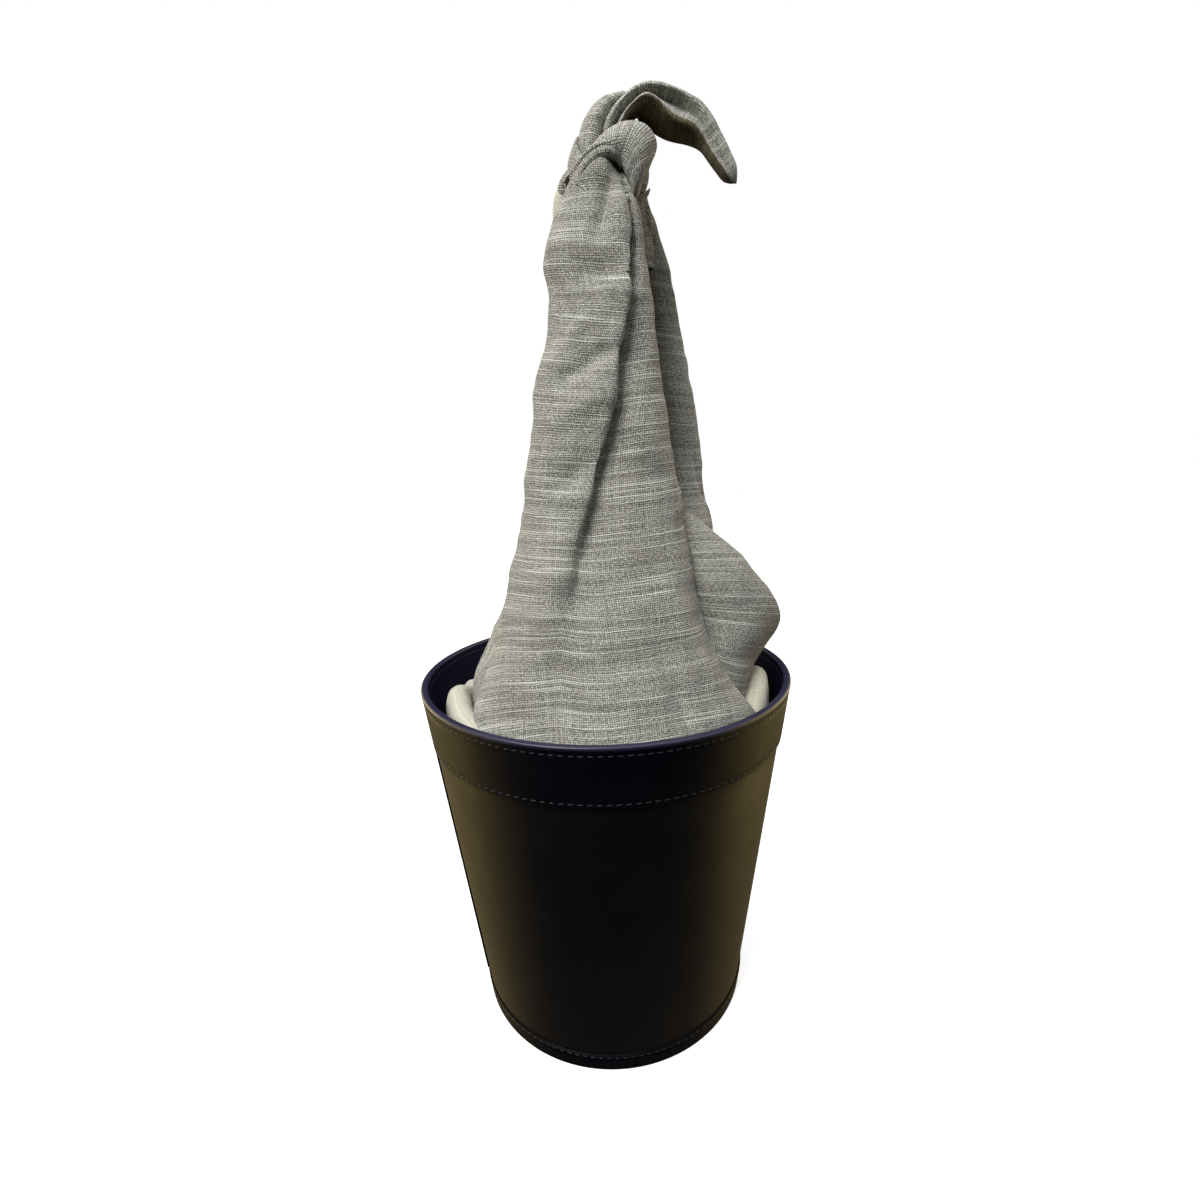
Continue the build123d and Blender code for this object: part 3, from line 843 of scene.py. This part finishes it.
def knot():
    knot_core()
    band("knot_wrap", WRAP, 60, 80, "handle", nodes=("knot",))
    band("upper_loop_band", LOOP, 50, 70, "handle", nodes=("upper_loop",))
    band("lower_loop_band", LOWER_LOOP, 30, 50, "handle")
    band("ear_hem_lip", hem_net(), 50, 70, "handle", 0.7 * MM, 0.2 * MM)
    band("left_hem_corner", LEFT_TAB, 30, 40, "handle", 0.7 * MM, 0.2 * MM)
    band("left_hem_lining", LEFT_HEM, 30, 50, "handle", 0.6 * MM, 0.2 * MM, material=COTTON)
    band("right_hem_corner", RIGHT_TAB, 30, 40, "handle", 0.7 * MM, 0.2 * MM)
    band("right_hem_edge", RIGHT_HEM, 30, 60, "handle", 0.7 * MM, 0.2 * MM)
    end_across = 90
    end = band("front_loose_end", FRONT_END, end_across, 150, "front_end", nodes=("front_end",))
    # Painted shade on the loose end's lower flap.
    paint_flap_shade(end, end_across, 0.72)
    band("rear_loose_end", REAR_END, 50, 90, "rear_end", nodes=("rear_end",))


knot()

# ---------------------------------------------------------------- the cotton bag


# Where the cotton's shoulder puffs up: degrees round from +X, how wide in degrees, how high in mm.
PUFFS = [(188, 13, 6), (205, 18, 8), (344, 9, 13), (353, 10, 9), (60, 30, 4)]


def puff(turn):
    """How far the cotton's shoulder puffs up, in mm, at so many degrees round."""
    return sum(rise * math.exp(-(((turn - at + 180) % 360 - 180) / wide) ** 2) for at, wide, rise in PUFFS)


def cotton_bag():
    """The cup of cream cotton under the linen, its soft shoulder puffed up at the left and right."""
    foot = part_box("cotton_floor")[0].z / MM
    outline = [(0.2, foot), (30, foot), (60, foot), (67.5, foot + 0.4), (70, foot + 4), (72, 25),
               (77, 70), (80.5, 100), (84, 130), (87, 148), (88.6, 158), (89, 166), (87.5, 173),
               (82, 176), (77.5, 172), (76.5, 165)]
    segments, along = 280, 124
    soft_from, soft_over, mean_radius = 0.12, 0.045, 0.08
    profile = basis(len(outline), along) @ (np.array(outline) * MM)
    points = np.zeros((along, segments, 3))
    for i, (r, z) in enumerate(profile):
        soft = min(1.0, max(0.0, (z - soft_from) / soft_over))
        for k in range(segments):
            turn = 360 * k / segments
            a = math.radians(turn)
            folds = noise.noise(Vector((math.cos(a) * 11, math.sin(a) * 11, z * 22 + 5)))
            broad = noise.noise(Vector((math.cos(a) * 4, math.sin(a) * 4, z * 9)))
            pleat = noise.noise(Vector((math.cos(a) * 26, math.sin(a) * 26, 3.0)))
            pull = (1.6 * broad * soft + 0.9 * folds * (0.3 + soft) + 0.7 * pleat * soft - 1.3 * soft) * MM
            reach = r + pull * min(1.0, r / 0.06)
            lift = (puff(turn) * soft ** 2 + 0.9 * folds * soft) * MM
            points[i, k] = (reach * math.cos(a), reach * math.sin(a), z + lift)
    run = np.concatenate([[0], np.cumsum(np.linalg.norm(np.diff(profile, axis=0), axis=1))])
    places = np.array([(2 * math.pi * k / segments * mean_radius, v) for v in run for k in range(segments)])
    faces = grid_faces(along, segments, closed=True)
    made = mesh_piece("cotton_lower_bag", points.reshape(-1, 3), faces, places)
    solid = made.modifiers.new("thickness", "SOLIDIFY")
    solid.thickness = 0.6 * MM
    solid.offset = 1
    wears(made, COTTON)
    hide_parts("cotton_wall", "cotton_floor", "waist_thread")
    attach(made, "pouch")


cotton_bag()

# ---------------------------------------------------------------- CAD pieces that stay

STAYS = {
    "side_seam_strip": NAVY, "lining_seam_strip": LINING_NAVY, "base_leather": UNDERSIDE,
    "base_lining": LINING_NAVY, "wall_stiffener": UNDERSIDE, "base_board": UNDERSIDE,
    "side_seam_thread": THREAD,
}
for name, material in STAYS.items():
    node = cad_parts[name]
    node.data.materials.clear()
    node.data.materials.append(material)

# ---------------------------------------------------------------- stage, light and camera


def pale_floor():
    """A round floor that gives off some light of its own, more of it further out, so it stays white."""
    radius, sides, below = 4, 64, -0.0002
    turns = [2 * math.pi * k / sides for k in range(sides)]
    ring = [(radius * math.cos(a), radius * math.sin(a), below) for a in turns]
    data = bpy.data.meshes.new("floor")
    data.from_pydata(ring, [], [tuple(range(sides))])
    floor = bpy.data.objects.new("floor", data)
    bpy.context.scene.collection.objects.link(floor)
    material, tree, shader = nodes_of("pale_floor")
    g = Graph(tree)
    far = g.node("ShaderNodeVectorMath", operation="LENGTH")
    g.feed(far.inputs[0], g.object_place())
    shader.inputs["Base Color"].default_value = (0.8, 0.8, 0.8, 1)
    shader.inputs["Emission Color"].default_value = (1, 1, 1, 1)
    g.feed(shader.inputs["Emission Strength"], g.remap(far.outputs["Value"], 0.15, 0.8, 0.6, 1.1))
    shader.inputs["Roughness"].default_value = 0.9
    data.materials.append(material)
    floor.visible_diffuse = False
    floor.visible_glossy = False


def studio():
    """White behind the object, a weak sky light on it, and in reflections a warm glow at both sides."""
    low_sky, high_sky = (0.42, 0.36, 0.22, 1), (0.95, 0.97, 1, 1)
    dark, warm_side = (0.036, 0.037, 0.052, 1), (2.0, 1.52, 0.56, 1)
    world = bpy.data.worlds.new("studio")
    bpy.context.scene.world = world
    world.use_nodes = True
    tree = world.node_tree
    tree.nodes.clear()
    g = Graph(tree)
    seen = g.node("ShaderNodeBackground")
    seen.inputs["Color"].default_value = (1, 1, 1, 1)
    lit = g.node("ShaderNodeBackground")
    path = g.node("ShaderNodeLightPath")
    both = g.node("ShaderNodeMixShader")
    out = g.node("ShaderNodeOutputWorld")
    up = g.node("ShaderNodeSeparateXYZ")
    g.feed(up.inputs[0], g.node("ShaderNodeTexCoord").outputs["Generated"])
    height = g.remap(up.outputs["Z"], -0.3, 0.6)
    strength = g.remap(up.outputs["Z"], -0.2, 0.6, 0.05, 0.35)
    side = g.remap(g.math("ABSOLUTE", up.outputs["X"]), 0.55, 0.95)
    side = g.math("MULTIPLY", side, g.remap(up.outputs["Y"], -0.35, 0.1))
    glow = g.mix(side, dark, warm_side)
    soft = g.node("ShaderNodeVectorMath", operation="SCALE")
    g.feed(soft.inputs[0], g.mix(height, low_sky, high_sky))
    g.feed(soft.inputs["Scale"], strength)
    g.feed(lit.inputs["Color"], g.mix(path.outputs["Is Glossy Ray"], soft.outputs[0], glow))
    g.feed(both.inputs["Fac"], path.outputs["Is Camera Ray"])
    g.feed(both.inputs[1], lit.outputs[0])
    g.feed(both.inputs[2], seen.outputs[0])
    g.feed(out.inputs["Surface"], both.outputs[0])


def area_light(name, place, target, size, power, colour=(1, 1, 1)):
    data = bpy.data.lights.new(name, "AREA")
    data.shape = "RECTANGLE"
    data.size, data.size_y = size
    data.energy = power
    data.color = colour
    light = bpy.data.objects.new(name, data)
    bpy.context.scene.collection.objects.link(light)
    light.location = place
    light.rotation_euler = (Vector(target) - Vector(place)).to_track_quat("-Z", "Y").to_euler()


def lights():
    area_light("key", (-0.6, -0.7, 1.3), (0, 0, 0.25), (0.7, 0.7), 22)
    area_light("fill", (0.9, -0.6, 0.9), (0, 0, 0.25), (0.8, 0.8), 2.5)
    area_light("top", (0.1, 0.1, 1.5), (0, 0, 0.2), (1.0, 1.0), 7)
    warm = (1.0, 0.84, 0.5)
    area_light("left_sheen", (-0.8, 0.5, 0.25), (0, 0, 0.12), (0.5, 0.9), 3, warm)
    area_light("right_sheen", (0.8, 0.5, 0.25), (0, 0, 0.12), (0.5, 0.9), 2.5, warm)


def camera():
    """The camera in front of the bin: turned, tipped down from level and rolled by these angles."""
    place, turned, tipped, rolled = (0, -0.3136, 0.3003), 0.338, 13.086, -1.828
    data = bpy.data.cameras.new("camera")
    data.lens, data.sensor_width = 17.69, 36
    data.clip_start = 0.01
    made = bpy.data.objects.new("camera", data)
    bpy.context.scene.collection.objects.link(made)
    turn = Matrix.Rotation(math.radians(turned), 4, "Z")
    down = Matrix.Rotation(math.radians(90 - tipped), 4, "X")
    roll = Matrix.Rotation(math.radians(rolled), 4, "Z")
    made.matrix_world = Matrix.Translation(place) @ turn @ down @ roll
    bpy.context.scene.camera = made


pale_floor()
studio()
lights()
camera()
bpy.context.scene.view_settings.view_transform = "Standard"
